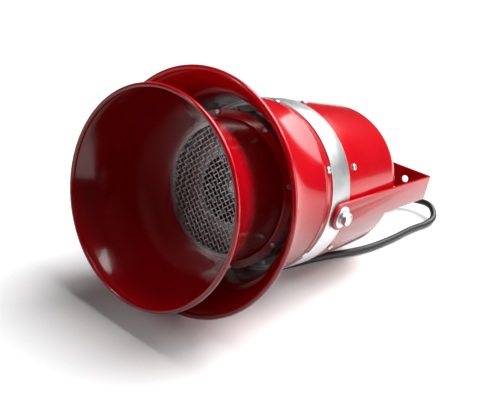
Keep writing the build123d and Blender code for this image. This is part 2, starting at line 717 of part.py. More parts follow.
# --- the assembly -------------------------------------------------------------------------------------
def siren_parts():
    place("inner_horn", inner_horn())
    place("outer_horn", outer_horn())
    place("centre_ring", centre_ring())
    place("rear_cover", rear_cover())
    place("guard_ring", guard_ring())
    place("guard_mesh", guard_mesh())
    place("port_ring", port_ring())
    place("bulkhead", bulkhead())
    place("flange_screws", flange_screws())
    place("bulkhead_screws", bulkhead_screws())
    place("horn_screws", ring_screw_set(HORN_SCREW_Y, 9))
    place("cover_screws", ring_screw_set(COVER_SCREW_Y, 8))
    place("cover_nuts", cover_nuts())


def rotating_parts():
    place("siren_rotor", siren_rotor())
    place("rotor_nut", rotor_nut())
    place("rotor_washer", rotor_washer())
    place("motor_shaft", motor_shaft())
    place("cage_rotor", cage_rotor())
    place("cooling_fan", cooling_fan())


def motor_parts():
    place("front_bearing", bearing(BELL_Y0 + 0.5))
    place("rear_bearing", bearing(BELL_Y1 - BEARING_WIDTH - 0.5))
    place("front_bell", front_bell())
    place("rear_bell", rear_bell())
    place("stator_core", stator_core())
    place("stator_windings", stator_windings())
    place("through_bolts", through_bolts())
    place("run_capacitor", run_capacitor())
    place("capacitor_clip", capacitor_clip())
    place("terminal_shelf", terminal_shelf())
    place("terminal_block", terminal_block())
    place("terminal_screws", terminal_screws())
    place("supply_cores", supply_cores())
    place("winding_leads", winding_leads())


def gland_parts():
    place("gland_body", gland_body())
    place("gland_locknut", gland_locknut())
    place("gland_nut", gland_nut())
    place("strain_relief", strain_relief())
    place("cord_in_gland", cord_in_gland())


def cord_parts():
    parts["cord"] = cord()
    parts["cord_coil"] = cord_coil()
    parts["cord_tie"] = cord_tie()
    parts["lead_ends"] = lead_ends()


def main():
    siren_parts()
    rotating_parts()
    motor_parts()
    pivot_stack()
    place("bracket", bracket())
    gland_parts()
    cord_parts()
    print("tilt", round(degrees(TILT), 3), "pivot", on_bench(0, PIVOT_Y, 0), "relief end", RELIEF_END)
    os.makedirs("parts", exist_ok=True)
    for name, shape in parts.items():
        export_step(shape, f"parts/{name}.step")


main()
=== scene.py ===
import json
from math import atan2, cos, hypot, pi, radians, sin

import bpy
from mathutils import Matrix, Vector


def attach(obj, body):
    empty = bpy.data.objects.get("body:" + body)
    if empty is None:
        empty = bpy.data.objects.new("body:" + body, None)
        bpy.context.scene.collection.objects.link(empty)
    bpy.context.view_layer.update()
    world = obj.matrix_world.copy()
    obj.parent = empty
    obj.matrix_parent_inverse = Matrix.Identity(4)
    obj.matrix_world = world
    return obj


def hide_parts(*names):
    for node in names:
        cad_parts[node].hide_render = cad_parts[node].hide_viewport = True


# Looks of a motor siren with two concentric horns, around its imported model.
# Pieces of the siren are modelled in millimetres on the siren's own axes: X along the bracket's
# pivots, Y from the inner mouth to the back, Z up. seat() then lays them on the bench, in metres.

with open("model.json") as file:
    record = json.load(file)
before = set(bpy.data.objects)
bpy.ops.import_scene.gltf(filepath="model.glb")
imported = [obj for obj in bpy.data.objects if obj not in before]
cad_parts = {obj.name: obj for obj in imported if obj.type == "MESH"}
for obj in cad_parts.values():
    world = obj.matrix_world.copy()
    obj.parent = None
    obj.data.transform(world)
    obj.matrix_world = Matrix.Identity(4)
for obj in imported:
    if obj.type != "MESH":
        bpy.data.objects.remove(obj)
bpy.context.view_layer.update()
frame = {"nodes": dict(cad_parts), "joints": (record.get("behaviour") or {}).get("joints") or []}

# --- the siren's own axes ------------------------------------------------------------------------
MM = 0.001
PIVOT_ALONG = 190.0
joints = {joint["name"]: joint for joint in frame["joints"]}
pivot = Vector(joints["bracket_tilt"]["pos_m"])
along_axis = Vector(joints["rotor_spin"]["axis"]).normalized()
across_axis = Vector((1, 0, 0))
SIREN_TURN = Matrix((across_axis, along_axis, across_axis.cross(along_axis))).transposed().to_4x4()
SIREN = Matrix.Translation(pivot - along_axis * PIVOT_ALONG * MM) @ SIREN_TURN @ Matrix.Scale(MM, 4)
LEAN = atan2(along_axis.z, along_axis.y)

# --- horns, band and cover (radii and places along the axis) ------------------------------------
SHEET = 1.5
INNER_MOUTH_R = 104.0
INNER_BEAD_R = 2.4
INNER_THROAT_R = 72.5
INNER_THROAT_Y = 108.0
INNER_FLANGE_R = 82.0
INNER_FLANGE_Y = 113.5
OUTER_MOUTH_R = 122.5
OUTER_MOUTH_Y = 57.0
OUTER_BEAD_R = 2.8
NECK_R = 93.2
NECK_Y = 130.0
LIP_Y = 161.0
LIP_R = 0.9
BAND_R = 94.7
BAND_WALL = 1.7
BAND_Y0 = 171.0
BAND_Y1 = 207.0
SPIGOT_R = NECK_R - SHEET - 0.05
SPIGOT_Y0 = 158.0
SPIGOT_Y1 = 230.0
COVER_TAPER_Y = 234.0
COVER_END_Y = 352.0
COVER_END_R = 90.3
COVER_EDGE_R = 34.0

# --- guard, screws, pivots, gland and sleeve ---------------------------------------------------------------
GUARD_Y = 110.5
GUARD_REACH = 66.7
WIRE_R = 0.5
WIRE_PITCH = 5.0
HORN_SCREW_Y = 167.0
COVER_SCREW_Y = 221.0
SCREWS = 6
SCREW_FIRST = 30.0
ARM_OUT = 98.8
GLAND_X = 18.0
GLAND_Z = -36.0
CORD_R = 4.5
SLEEVE_Y = 375.0
RELIEF_Y = 404.0
SLEEVE_RIBS = 7
BOLT_HEAD = 5.3
BOLT_FLATS = 13.0
WASHER_R = 12.0
WASHER_WALL = 1.6
SPRING_WALL = 2.3
GLAND_FLANGE = 22.0
GLAND_NUT = 21.0

# --- the cord, in metres --------------------------------------------------------------------------
CORD_EXIT = (0.018, 0.197236, 0.043581)
CORD_ROUTE = [
    CORD_EXIT,
    (0.0180, 0.231, 0.0394),
    (0.0180, 0.265, 0.0340),
    (0.0170, 0.300, 0.0240),
    (0.0160, 0.334, 0.0165),
    (0.0335, 0.352, 0.0160),
    (0.0585, 0.352, 0.0190),
    (0.0760, 0.334, 0.0090),
    (0.0760, 0.310, 0.0046),
    (0.0720, 0.283, 0.0046),
    (0.0700, 0.254, 0.0046),
    (0.0700, 0.224, 0.0046),
    (0.0680, 0.192, 0.0046),
    (0.0640, 0.154, 0.0046),
    (0.0550, 0.120, 0.0046),
    (0.0450, 0.090, 0.0046),
    (0.0370, 0.062, 0.0046),
    (0.0310, 0.036, 0.0046),
    (0.0240, 0.008, 0.0046),
    (0.0140, -0.014, 0.0046),
    (-0.0040, -0.032, 0.0046),
    (-0.0400, -0.054, 0.0046),
    (-0.0840, -0.072, 0.0046),
]
COIL_CENTRE = (-0.104, -0.022)
COIL_LANES = ((0.0541, 0.0046), (0.0447, 0.0046), (0.0449, 0.0137), (0.0543, 0.0137))
COIL_MIDDLE = 0.049
COIL_START = -90.0
COIL_SWEEP = 1230.0
COIL_POINTS = 62
TIE_ANGLE = 75.0
TIE_LIFT = 0.0004
LEAD_ANGLE = 120.0
LEAD_STEPS = ((0.014, 0.0125), (0.027, 0.0085), (0.039, 0.0052), (0.050, 0.0047))

# --- camera ---------------------------------------------------------------------------------------
CAMERA_PLACE = Vector((0.3989, -0.6164, 0.3839))
CAMERA_AIM = Vector((0.0164, -0.0613, 0.1037))
CAMERA_ROLL = radians(10.43)
CAMERA_LENS = 50.4
SENSOR = 36.0


def add_camera():
    data = bpy.data.cameras.new("camera")
    data.sensor_width = SENSOR
    data.lens = CAMERA_LENS
    data.clip_start = 0.02
    camera = bpy.data.objects.new("camera", data)
    bpy.context.scene.collection.objects.link(camera)
    turn = (CAMERA_AIM - CAMERA_PLACE).to_track_quat("-Z", "Y").to_matrix()
    turn = turn @ Matrix.Rotation(CAMERA_ROLL, 3, "Z")
    camera.matrix_world = Matrix.Translation(CAMERA_PLACE) @ turn.to_4x4()
    bpy.context.scene.camera = camera


# --- hand tools -----------------------------------------------------------------------------------
def deselect():
    bpy.ops.object.select_all(action="DESELECT")


def work_on(piece):
    deselect()
    piece.select_set(True)
    bpy.context.view_layer.objects.active = piece


def start_edit(piece):
    work_on(piece)
    bpy.ops.object.mode_set(mode="EDIT")
    bpy.ops.mesh.select_all(action="SELECT")


def end_edit():
    bpy.ops.mesh.select_mode(type="VERT")
    bpy.ops.object.mode_set(mode="OBJECT")


def start_edit_faces(piece, wanted):
    """Opens a piece with only the wanted faces selected."""
    start_edit(piece)
    bpy.ops.mesh.select_all(action="DESELECT")
    bpy.ops.mesh.select_mode(type="FACE")
    bpy.ops.object.mode_set(mode="OBJECT")
    for face in piece.data.polygons:
        face.select = wanted(face)
    bpy.ops.object.mode_set(mode="EDIT")


def tidy_mesh(piece, gap=0.0005):
    """Merges doubled points and turns every face outwards."""
    start_edit(piece)
    bpy.ops.mesh.remove_doubles(threshold=gap)
    bpy.ops.mesh.normals_make_consistent(inside=False)
    end_edit()


def apply_modifiers(piece):
    work_on(piece)
    for modifier in list(piece.modifiers):
        bpy.ops.object.modifier_apply(modifier=modifier.name)


def smooth(piece, angle=35):
    work_on(piece)
    bpy.ops.object.shade_smooth_by_angle(angle=radians(angle))


def round_edges(piece, width, segments=2, angle=32):
    bevel = piece.modifiers.new("round_edges", "BEVEL")
    bevel.width = width
    bevel.segments = segments
    bevel.limit_method = "ANGLE"
    bevel.angle_limit = radians(angle)
    apply_modifiers(piece)


def cut(piece, cutter):
    """Takes the cutter's shape out of the piece, and the cutter away."""
    boolean = piece.modifiers.new("cut", "BOOLEAN")
    boolean.operation = "DIFFERENCE"
    boolean.object = cutter
    boolean.solver = "EXACT"
    apply_modifiers(piece)
    bpy.data.objects.remove(cutter)


def join(name, pieces):
    deselect()
    for piece in pieces:
        piece.select_set(True)
    bpy.context.view_layer.objects.active = pieces[0]
    bpy.ops.object.join()
    pieces[0].name = name
    return pieces[0]


def lathe(name, outline, steps=96, centre=(0.0, 0.0)):
    """Draws a half outline of (radius, along) point by point and spins it round the axis."""
    deselect()
    bpy.ops.mesh.primitive_circle_add(vertices=3, radius=0.01)
    piece = bpy.context.object
    piece.name = name
    start_edit(piece)
    bpy.ops.mesh.merge(type="CENTER")
    bpy.ops.transform.translate(value=(outline[0][0], outline[0][1], 0))
    ends = outline[1:] + outline[:1]
    for (r0, y0), (r1, y1) in zip(outline, ends):
        bpy.ops.mesh.extrude_region_move(TRANSFORM_OT_translate={"value": (r1 - r0, y1 - y0, 0)})
    bpy.ops.mesh.select_all(action="SELECT")
    bpy.ops.mesh.remove_doubles(threshold=0.0005)
    bpy.ops.mesh.spin(steps=steps, angle=2 * pi, center=(0, 0, 0), axis=(0, 1, 0))
    end_edit()
    tidy_mesh(piece)
    piece.data.transform(Matrix.Translation((centre[0], 0, centre[1])))
    return piece


def hexagon(name, flats, y0, y1, centre=(0.0, 0.0)):
    """Hexagonal block along the siren's axis."""
    deselect()
    bpy.ops.mesh.primitive_cylinder_add(
        vertices=6, radius=flats / 2 / cos(pi / 6), depth=y1 - y0, rotation=(pi / 2, 0, 0)
    )
    piece = bpy.context.object
    piece.name = name
    bpy.ops.object.transform_apply(location=True, rotation=True, scale=True)
    piece.data.transform(Matrix.Translation((centre[0], (y0 + y1) / 2, centre[1])))
    return piece


def block(name, low, high):
    deselect()
    bpy.ops.mesh.primitive_cube_add(size=1)
    piece = bpy.context.object
    piece.name = name
    low, high = Vector(low), Vector(high)
    size = Matrix.Diagonal((*(high - low), 1))
    piece.data.transform(Matrix.Translation((low + high) / 2) @ size)
    return piece


def copy_of(piece, name, placing):
    other = bpy.data.objects.new(name, piece.data.copy())
    bpy.context.scene.collection.objects.link(other)
    other.data.transform(placing)
    return other


def outwards(radius, along, angle):
    """Places a piece made along the axis so that its front points outwards at that angle."""
    turn = Matrix.Rotation(radians(-angle), 4, "Y")
    return turn @ Matrix.Translation((radius, along, 0)) @ Matrix.Rotation(pi / 2, 4, "Z")


def seat(piece, body, slot, nodes=(), laid=True):
    """Lays a finished piece on the bench and fixes it to its body."""
    if laid:
        piece.data.transform(SIREN)
    piece.data.materials.clear()
    piece.data.materials.append(finishes[slot])
    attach(piece, body)
    if nodes:
        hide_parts(*nodes)
    return piece


def finished_copy(node, name, edge, angle=32):
    """A CAD part's own shape with its edges rounded off, in metres."""
    piece = bpy.data.objects.new(name, frame["nodes"][node].data.copy())
    bpy.context.scene.collection.objects.link(piece)
    start_edit(piece)
    bpy.ops.mesh.customdata_custom_splitnormals_clear()
    bpy.ops.mesh.remove_doubles(threshold=0.000002)
    bpy.ops.mesh.dissolve_limited(angle_limit=radians(0.6))
    end_edit()
    if edge:
        round_edges(piece, edge, 2, angle)
    smooth(piece, 32)
    return piece


# --- outlines -----------------------------------------------------------------------------------
def arc(centre, radius, first, last, count=10):
    """Points round a centre, angles in degrees from outwards towards the back."""
    turns = [radians(first + (last - first) * i / count) for i in range(count + 1)]
    return [(centre[0] + radius * cos(turn), centre[1] + radius * sin(turn)) for turn in turns]


def bend(start, pull, throat, throat_pull, count=22):
    """Flare from the mouth to the throat, leaving along pull and ending along the axis."""
    leave = (start[0] + pull[0], start[1] + pull[1])
    arrive = (throat[0], throat[1] - throat_pull)
    controls = [start, leave, arrive, throat]
    points = []
    for i in range(count + 1):
        t = i / count
        shares = ((1 - t) ** 3, 3 * t * (1 - t) ** 2, 3 * t * t * (1 - t), t**3)
        points.append(tuple(sum(s * c[k] for s, c in zip(shares, controls)) for k in (0, 1)))
    return points


def horn_sides(start, slope, pull, throat, throat_pull):
    """Outside and inside lines of a horn's flare, one sheet apart."""
    inwards, rearwards = slope
    step = (-SHEET * rearwards, -SHEET * inwards)
    way = (-inwards * pull, rearwards * pull)
    outside = bend(start, way, throat, throat_pull)
    inner_start = (start[0] + step[0], start[1] + step[1])
    inside = bend(inner_start, way, (throat[0] - SHEET, throat[1]), throat_pull)
    return outside, inside


def with_rolled_edge(outside, inside, bead, mouth_r, mouth_y):
    """Inside line from the throat, round the rolled edge, and the outside line back."""
    centre = (mouth_r - bead, mouth_y + bead)
    clear = bead * 1.02
    outside = [p for p in outside if hypot(p[0] - centre[0], p[1] - centre[1]) > clear]
    inside = [p for p in inside if hypot(p[0] - centre[0], p[1] - centre[1]) > clear]
    leave = atan2(inside[0][1] - centre[1], inside[0][0] - centre[0]) * 180 / pi
    meet = atan2(outside[0][1] - centre[1], outside[0][0] - centre[0]) * 180 / pi
    edge = arc(centre, bead, leave, meet + 360, 22)
    return inside[::-1] + edge + outside


def smoothstep(value):
    value = min(1.0, max(0.0, value))
    return value * value * (3 - 2 * value)


# --- shared shader groups ---------------------------------------------------------------------------
def new_group(name, inputs, outputs):
    group = bpy.data.node_groups.new(name, "ShaderNodeTree")
    for label, kind, value in inputs:
        socket = group.interface.new_socket(label, in_out="INPUT", socket_type=kind)
        socket.default_value = value
    for label, kind in outputs:
        group.interface.new_socket(label, in_out="OUTPUT", socket_type=kind)
    start = group.nodes.new("NodeGroupInput")
    end = group.nodes.new("NodeGroupOutput")
    return group, start, end


def node(tree, kind, **settings):
    made = tree.nodes.new(kind)
    for name, value in settings.items():
        if name in made.inputs:
            made.inputs[name].default_value = value
        else:
            setattr(made, name, value)
    return made


def make_uneven():
    """A value that drifts between Low and High over the surface."""
    group, start, end = new_group(
        "uneven",
        [
            ("Scale", "NodeSocketFloat", 40.0),
            ("Low", "NodeSocketFloat", 0.0),
            ("High", "NodeSocketFloat", 1.0),
        ],
        [("Value", "NodeSocketFloat")],
    )
    place = node(group, "ShaderNodeTexCoord")
    noise = node(group, "ShaderNodeTexNoise", Detail=5.0, Roughness=0.62)
    spread = node(group, "ShaderNodeMapRange")
    spread.inputs["From Min"].default_value = 0.3
    spread.inputs["From Max"].default_value = 0.7
    link = group.links.new
    link(place.outputs["Object"], noise.inputs["Vector"])
    link(start.outputs["Scale"], noise.inputs["Scale"])
    link(noise.outputs["Fac"], spread.inputs["Value"])
    link(start.outputs["Low"], spread.inputs["To Min"])
    link(start.outputs["High"], spread.inputs["To Max"])
    link(spread.outputs["Result"], end.inputs["Value"])
    return group


def make_two_tone():
    """Colour that drifts between two tones over the surface."""
    group, start, end = new_group(
        "two_tone",
        [
            ("Scale", "NodeSocketFloat", 30.0),
            ("Tone A", "NodeSocketColor", (0.5, 0.5, 0.5, 1)),
            ("Tone B", "NodeSocketColor", (0.6, 0.6, 0.6, 1)),
        ],
        [("Color", "NodeSocketColor")],
    )
    place = node(group, "ShaderNodeTexCoord")
    noise = node(group, "ShaderNodeTexNoise", Detail=4.0, Roughness=0.55)
    mix = node(group, "ShaderNodeMix", data_type="RGBA")
    spread = node(group, "ShaderNodeMapRange")
    spread.inputs["From Min"].default_value = 0.35
    spread.inputs["From Max"].default_value = 0.65
    link = group.links.new
    link(place.outputs["Object"], noise.inputs["Vector"])
    link(start.outputs["Scale"], noise.inputs["Scale"])
    link(noise.outputs["Fac"], spread.inputs["Value"])
    link(spread.outputs["Result"], mix.inputs["Factor"])
    link(start.outputs["Tone A"], mix.inputs["A"])
    link(start.outputs["Tone B"], mix.inputs["B"])
    link(mix.outputs["Result"], end.inputs["Color"])
    return group


def make_fine_relief():
    """Normal of a fine surface grain; Stretch draws the grain out along one direction."""
    group, start, end = new_group(
        "fine_relief",
        [
            ("Scale", "NodeSocketFloat", 400.0),
            ("Depth", "NodeSocketFloat", 0.0001),
            ("Strength", "NodeSocketFloat", 0.3),
            ("Stretch", "NodeSocketVector", (1.0, 1.0, 1.0)),
        ],
        [("Normal", "NodeSocketVector")],
    )
    place = node(group, "ShaderNodeTexCoord")
    lean = node(group, "ShaderNodeMapping", vector_type="TEXTURE", Rotation=(LEAN, 0.0, 0.0))
    draw = node(group, "ShaderNodeVectorMath", operation="MULTIPLY")
    noise = node(group, "ShaderNodeTexNoise", Detail=3.0, Roughness=0.5)
    bump = node(group, "ShaderNodeBump")
    link = group.links.new
    link(place.outputs["Object"], lean.inputs["Vector"])
    link(lean.outputs["Vector"], draw.inputs[0])
    link(start.outputs["Stretch"], draw.inputs[1])
    link(draw.outputs["Vector"], noise.inputs["Vector"])
    link(start.outputs["Scale"], noise.inputs["Scale"])
    link(start.outputs["Depth"], bump.inputs["Distance"])
    link(start.outputs["Strength"], bump.inputs["Strength"])
    link(noise.outputs["Fac"], bump.inputs["Height"])
    link(bump.outputs["Normal"], end.inputs["Normal"])
    return group


GROUPS = {"uneven": make_uneven(), "two_tone": make_two_tone(), "fine_relief": make_fine_relief()}


# --- finishes ---------------------------------------------------------------------------------------
def finish(name, tones, rough, grain, scale=40.0, stretch=(1, 1, 1), **fixed):
    """Material whose colour and roughness drift and whose surface has a fine grain.

    rough is (low, high), and grain is (scale, depth in metres, strength).
    """
    material = bpy.data.materials.new(name)
    material.use_nodes = True
    tree = material.node_tree
    shader = tree.nodes["Principled BSDF"]
    for socket, value in fixed.items():
        shader.inputs[socket.replace("_", " ")].default_value = value
    colour = node(tree, "ShaderNodeGroup", node_tree=GROUPS["two_tone"])
    colour.inputs["Scale"].default_value = scale
    colour.inputs["Tone A"].default_value = (*tones[0], 1)
    colour.inputs["Tone B"].default_value = (*tones[1], 1)
    gloss = node(tree, "ShaderNodeGroup", node_tree=GROUPS["uneven"])
    gloss.inputs["Scale"].default_value = scale * 2.3
    gloss.inputs["Low"].default_value = rough[0]
    gloss.inputs["High"].default_value = rough[1]
    relief = node(tree, "ShaderNodeGroup", node_tree=GROUPS["fine_relief"])
    relief.inputs["Scale"].default_value = grain[0]
    relief.inputs["Depth"].default_value = grain[1]
    relief.inputs["Strength"].default_value = grain[2]
    relief.inputs["Stretch"].default_value = stretch
    tree.links.new(colour.outputs["Color"], shader.inputs["Base Color"])
    tree.links.new(gloss.outputs["Value"], shader.inputs["Roughness"])
    tree.links.new(relief.outputs["Normal"], shader.inputs["Normal"])
    return material


def make_finishes():
    made = {}
    made["red_paint"] = finish(
        "red_enamel", ((0.62, 0.002, 0.010), (0.54, 0.001, 0.007)), (0.12, 0.18), (700, 0.0001, 0.06),
        12.0, Coat_Weight=0.25, Coat_Roughness=0.05, IOR=1.42,
    )
    made["zinc_plate"] = finish(
        "bright_zinc", ((0.56, 0.58, 0.58), (0.66, 0.67, 0.66)), (0.36, 0.48), (60, 0.0001, 0.12),
        60.0, (1, 14, 1), Metallic=1.0,
    )
    made["dark_steel"] = finish(
        "plain_steel", ((0.28, 0.28, 0.29), (0.36, 0.35, 0.34)), (0.3, 0.45), (500, 0.0001, 0.2),
        80.0, Metallic=1.0,
    )
    made["mesh_wire"] = finish(
        "drawn_wire", ((0.74, 0.72, 0.72), (0.86, 0.85, 0.85)), (0.3, 0.45), (900, 0.0001, 0.15),
        120.0, Metallic=1.0,
    )
    made["cast_aluminium"] = finish(
        "turned_casting", ((0.60, 0.61, 0.62), (0.50, 0.51, 0.52)), (0.34, 0.5), (260, 0.0002, 0.3),
        50.0, (1, 6, 1), Metallic=1.0,
    )
    made["fibre"] = finish(
        "pressed_fibre", ((0.10, 0.07, 0.055), (0.16, 0.11, 0.08)), (0.6, 0.8), (900, 0.0002, 0.4), 200.0
    )
    made["bearing_steel"] = finish(
        "ground_steel", ((0.60, 0.60, 0.62), (0.68, 0.68, 0.70)), (0.12, 0.22), (600, 0.0001, 0.1),
        70.0, (1, 10, 1), Metallic=1.0,
    )
    made["lamination"] = finish(
        "stacked_sheet", ((0.16, 0.16, 0.17), (0.24, 0.24, 0.26)), (0.4, 0.6), (30, 0.0003, 0.8),
        60.0, (0.02, 40, 0.02), Metallic=0.8,
    )
    made["black_plastic"] = finish(
        "moulded_nylon", ((0.022, 0.022, 0.023), (0.034, 0.034, 0.035)), (0.4, 0.55),
        (1200, 0.0001, 0.25), 90.0,
    )
    made["copper_winding"] = finish(
        "varnished_copper", ((0.50, 0.20, 0.07), (0.62, 0.28, 0.10)), (0.25, 0.4), (500, 0.0004, 0.7),
        90.0, (1, 2, 1), Metallic=0.9, Coat_Weight=0.5,
    )
    made["capacitor_case"] = finish(
        "pale_case", ((0.74, 0.74, 0.71), (0.80, 0.80, 0.77)), (0.35, 0.5), (800, 0.0001, 0.2), 70.0
    )
    made["terminal_plastic"] = finish(
        "ivory_nylon", ((0.76, 0.73, 0.63), (0.82, 0.80, 0.71)), (0.4, 0.5), (900, 0.0001, 0.2), 70.0
    )
    made["brass"] = finish(
        "plain_brass", ((0.66, 0.46, 0.17), (0.74, 0.54, 0.22)), (0.22, 0.36), (700, 0.0001, 0.2),
        80.0, Metallic=1.0,
    )
    made["core_insulation"] = finish(
        "brown_insulation", ((0.20, 0.08, 0.03), (0.26, 0.11, 0.05)), (0.35, 0.5), (900, 0.0001, 0.15), 90.0
    )
    made["lead_blue"] = finish(
        "blue_insulation", ((0.03, 0.10, 0.42), (0.04, 0.13, 0.50)), (0.35, 0.5), (900, 0.0001, 0.15), 90.0
    )
    made["lead_green"] = finish(
        "green_insulation", ((0.05, 0.30, 0.07), (0.55, 0.52, 0.05)), (0.35, 0.5), (900, 0.0001, 0.15), 140.0
    )
    made["gland_plastic"] = finish(
        "gland_nylon", ((0.020, 0.020, 0.021), (0.032, 0.032, 0.033)), (0.35, 0.5), (1100, 0.0001, 0.25), 90.0
    )
    made["cord_rubber"] = finish(
        "rubber_sheath", ((0.010, 0.010, 0.011), (0.018, 0.018, 0.019)), (0.34, 0.5),
        (1500, 0.0001, 0.3), 70.0,
    )
    made["tie_plastic"] = finish(
        "strap_nylon", ((0.03, 0.03, 0.031), (0.05, 0.05, 0.05)), (0.4, 0.55), (1300, 0.0001, 0.3), 120.0
    )
    return made


# --- the cord ---------------------------------------------------------------------------------------
def coil_points():
    """Clockwise turns laid beside and on each other, and the free end running off them."""
    points = []
    for i in range(COIL_POINTS + 1):
        angle = radians(COIL_START - COIL_SWEEP * i / COIL_POINTS)
        turns = COIL_SWEEP * i / COIL_POINTS / 360
        lane = min(int(turns), len(COIL_LANES) - 1)
        following = min(lane + 1, len(COIL_LANES) - 1)
        share = smoothstep((turns - lane - 0.8) / 0.2)
        radius = COIL_LANES[lane][0] * (1 - share) + COIL_LANES[following][0] * share
        height = COIL_LANES[lane][1] * (1 - share) + COIL_LANES[following][1] * share
        points.append((COIL_CENTRE[0] + radius * cos(angle), COIL_CENTRE[1] + radius * sin(angle), height))
    leave = points[-1]
    way = radians(LEAD_ANGLE - 90)
    for reach, height in LEAD_STEPS:
        points.append((leave[0] + reach * cos(way), leave[1] + reach * sin(way), height))
    return points


def make_cord():
    curve = bpy.data.curves.new("supply_cord", "CURVE")
    curve.dimensions = "3D"
    curve.bevel_depth = CORD_R * MM
    curve.bevel_resolution = 6
    curve.resolution_u = 8
    curve.use_fill_caps = True
    spline = curve.splines.new("NURBS")
    points = CORD_ROUTE + coil_points()
    spline.points.add(len(points) - 1)
    for point, place in zip(spline.points, points):
        point.co = (*place, 1)
    spline.order_u = 3
    spline.use_endpoint_u = True
    cord = bpy.data.objects.new("supply_cord", curve)
    bpy.context.scene.collection.objects.link(cord)
    curve.materials.append(finishes["cord_rubber"])
    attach(cord, "siren_body")
    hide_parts("cord", "cord_coil")
    return cord, points[-1]


def make_strain_relief():
    """Tapered sleeve with grooves round it."""
    start, end = SLEEVE_Y, RELIEF_Y
    outline = [(CORD_R, start), (7.0, start), (7.4, start + 0.6), (7.4, start + 3.0)]
    pitch = (end - start - 6.0) / SLEEVE_RIBS
    for i in range(SLEEVE_RIBS):
        y = start + 4.0 + i * pitch
        r = 7.2 - 1.7 * i / (SLEEVE_RIBS - 1)
        outline += [(r - 0.9, y), (r - 0.9, y + pitch * 0.35), (r, y + pitch * 0.5), (r, y + pitch * 0.9)]
    outline += [(5.4, end - 0.6), (5.1, end), (CORD_R, end)]
    relief = lathe("strain_relief_sleeve", outline, 40, (GLAND_X, GLAND_Z))
    round_edges(relief, 0.15, 2, 30)
    smooth(relief)
    return seat(relief, "siren_body", "gland_plastic", ["strain_relief"])


def make_tie():
    """Strap round the turns, with its buckle outside."""
    strap = block("coil_strap", (-10.4, -2.4, 0.2), (10.4, 2.4, 18.5))
    start_edit_faces(strap, lambda face: abs(face.normal.y) > 0.9)
    bpy.ops.mesh.delete(type="FACE")
    end_edit()
    round_edges(strap, 4.0, 6, 40)
    wall = strap.modifiers.new("thickness", "SOLIDIFY")
    wall.thickness = 0.9
    wall.offset = -1.0
    apply_modifiers(strap)
    buckle = block("buckle", (9.6, -3.0, 8.2), (12.4, 3.0, 13.4))
    strap = join("coil_strap", [strap, buckle])
    round_edges(strap, 0.3, 2, 50)
    smooth(strap)
    turn = Matrix.Rotation(radians(TIE_ANGLE), 4, "Z")
    centre = Vector((*COIL_CENTRE, TIE_LIFT))
    out_to_turns = Matrix.Translation((COIL_MIDDLE, 0, 0)) @ Matrix.Scale(MM, 4)
    strap.data.transform(Matrix.Translation(centre) @ turn @ out_to_turns)
    return seat(strap, "siren_body", "tie_plastic", ["cord_tie"], laid=False)


def make_lead_ends(end):
    """Three insulated cores with crimped ferrules, out of the cut end of the sheath."""
    way = Matrix.Translation(end) @ Matrix.Rotation(radians(LEAD_ANGLE - 90), 4, "Z") @ Matrix.Scale(MM, 4)
    made = []
    laid = (("core_insulation", -2.2, -1.2), ("lead_blue", 2.2, -1.2), ("lead_green", 0.0, 2.1))
    for number, (tone, side, lift) in enumerate(laid):
        core = lathe(f"lead_core_{number + 1}", [(0, -1), (1.4, -1), (1.4, 21.4), (1.1, 22), (0, 22)], 20)
        ferrule = lathe(
            f"lead_ferrule_{number + 1}",
            [(0, 21), (1.75, 21), (1.75, 21.2), (1.6, 24), (0.9, 24.6), (0.9, 30.6), (0.75, 31), (0, 31)],
            20,
        )
        for piece, slot, colour in ((core, "core_insulation", tone), (ferrule, "zinc_plate", "zinc_plate")):
            smooth(piece)
            lie = Matrix.Translation((0, side, lift)) @ Matrix.Rotation(-pi / 2, 4, "Z")
            piece.data.transform(way @ lie)
            seat(piece, "siren_body", slot, ["lead_ends"], laid=False)
            piece.data.materials[0] = finishes[colour]
            made.append(piece)
    return made


# --- the sheet metal shell ----------------------------------------------------------------------------
def make_inner_horn():
    start = (INNER_MOUTH_R - 1.9, INNER_BEAD_R + 0.3)
    outside, inside = horn_sides(start, (0.45, 0.89), 26, (INNER_THROAT_R, INNER_THROAT_Y), 46)
    outline = with_rolled_edge(outside, inside, INNER_BEAD_R, INNER_MOUTH_R, 0.0)
    back = INNER_FLANGE_Y + SHEET
    foot = [(INNER_THROAT_R, INNER_FLANGE_Y - 2)]
    foot += arc((INNER_THROAT_R + 2, INNER_FLANGE_Y - 2), 2, 180, 90, 5)
    foot += [(INNER_FLANGE_R - 0.3, INNER_FLANGE_Y), (INNER_FLANGE_R, INNER_FLANGE_Y + 0.3)]
    foot += [(INNER_FLANGE_R, back - 0.3), (INNER_FLANGE_R - 0.3, back), (INNER_THROAT_R + 0.7, back)]
    foot += [(INNER_THROAT_R - SHEET, INNER_FLANGE_Y)]
    horn = lathe("inner_horn_sheet", outline + foot, 144)
    smooth(horn)
    seat(horn, "siren_body", "red_paint", ["inner_horn"])


def make_outer_horn():
    start = (OUTER_MOUTH_R - 2.1, OUTER_MOUTH_Y + OUTER_BEAD_R + 0.3)
    outside, inside = horn_sides(start, (0.62, 0.78), 20, (NECK_R, NECK_Y), 40)
    outline = with_rolled_edge(outside, inside, OUTER_BEAD_R, OUTER_MOUTH_R, OUTER_MOUTH_Y)
    neck = [(NECK_R, LIP_Y - 2.4), (NECK_R + 0.25, LIP_Y - 1.4)] + arc((NECK_R, LIP_Y), LIP_R, -50, 50, 6)
    neck += [(NECK_R + 0.25, LIP_Y + 1.4), (NECK_R, LIP_Y + 2.4), (NECK_R, BAND_Y0 - 0.4)]
    neck += [(NECK_R - 0.4, BAND_Y0), (NECK_R - SHEET, BAND_Y0)]
    horn = lathe("outer_horn_sheet", outline + neck, 144)
    smooth(horn)
    seat(horn, "siren_body", "red_paint", ["outer_horn"])


